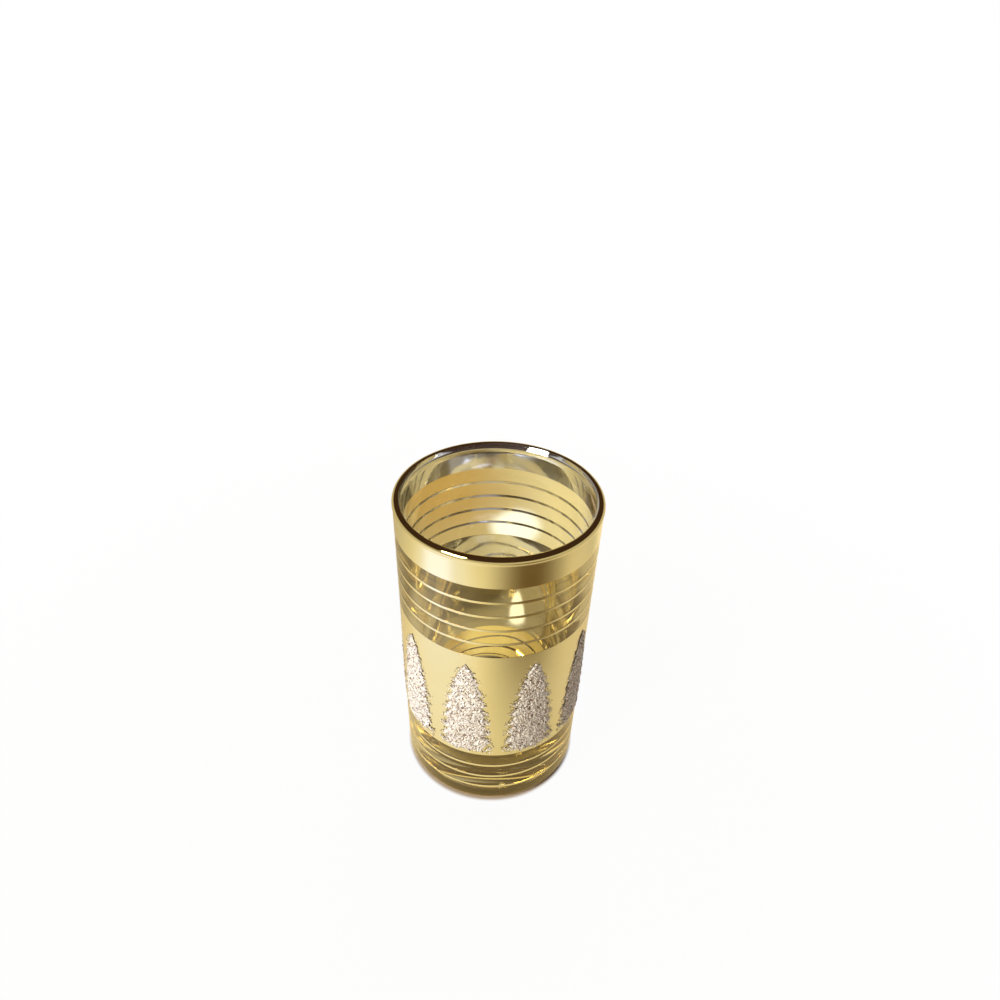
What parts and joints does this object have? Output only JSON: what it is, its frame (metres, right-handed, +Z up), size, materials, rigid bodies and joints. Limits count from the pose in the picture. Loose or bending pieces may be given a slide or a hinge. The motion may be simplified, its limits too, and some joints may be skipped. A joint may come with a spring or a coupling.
{
  "type": "tea glass",
  "caption": "Straight-sided clear tea glass with a thick base and round lip, silver mirror bands and lines under amber-gold lacquer, and raised silver glitter fir trees.",
  "frame": {"origin": "on the axis of the glass, in the plane of its flat foot", "axes": "+Z up along the axis of the glass, out of its mouth; -Y is the front, the side that faces the camera in the picture"},
  "size_m": [0.054, 0.054, 0.0902],
  "materials": {
    "clear_glass": "clear, fire-polished",
    "mirror_print": "vacuum-metallised silver mirror, printed as bands and lines",
    "gold_lacquer": "see-through amber-gold gloss lacquer",
    "silver_glitter": "coarse silver glitter, raised"
  },
  "bodies": {
    "root": {"glass_tumbler": "clear_glass", "rim_mirror_band": "mirror_print", "upper_mirror_line_1": "mirror_print", "upper_mirror_line_2": "mirror_print", "upper_mirror_line_3": "mirror_print", "upper_mirror_line_4": "mirror_print", "tree_mirror_band": "mirror_print", "lower_mirror_line_1": "mirror_print", "lower_mirror_line_2": "mirror_print", "lower_mirror_line_3": "mirror_print", "gold_lacquer": "gold_lacquer", "glitter_tree_1": "silver_glitter", "glitter_tree_2": "silver_glitter", "glitter_tree_3": "silver_glitter", "glitter_tree_4": "silver_glitter", "glitter_tree_5": "silver_glitter", "glitter_tree_6": "silver_glitter", "glitter_tree_7": "silver_glitter", "glitter_tree_8": "silver_glitter", "glitter_tree_9": "silver_glitter"}
  },
  "joints": []
}
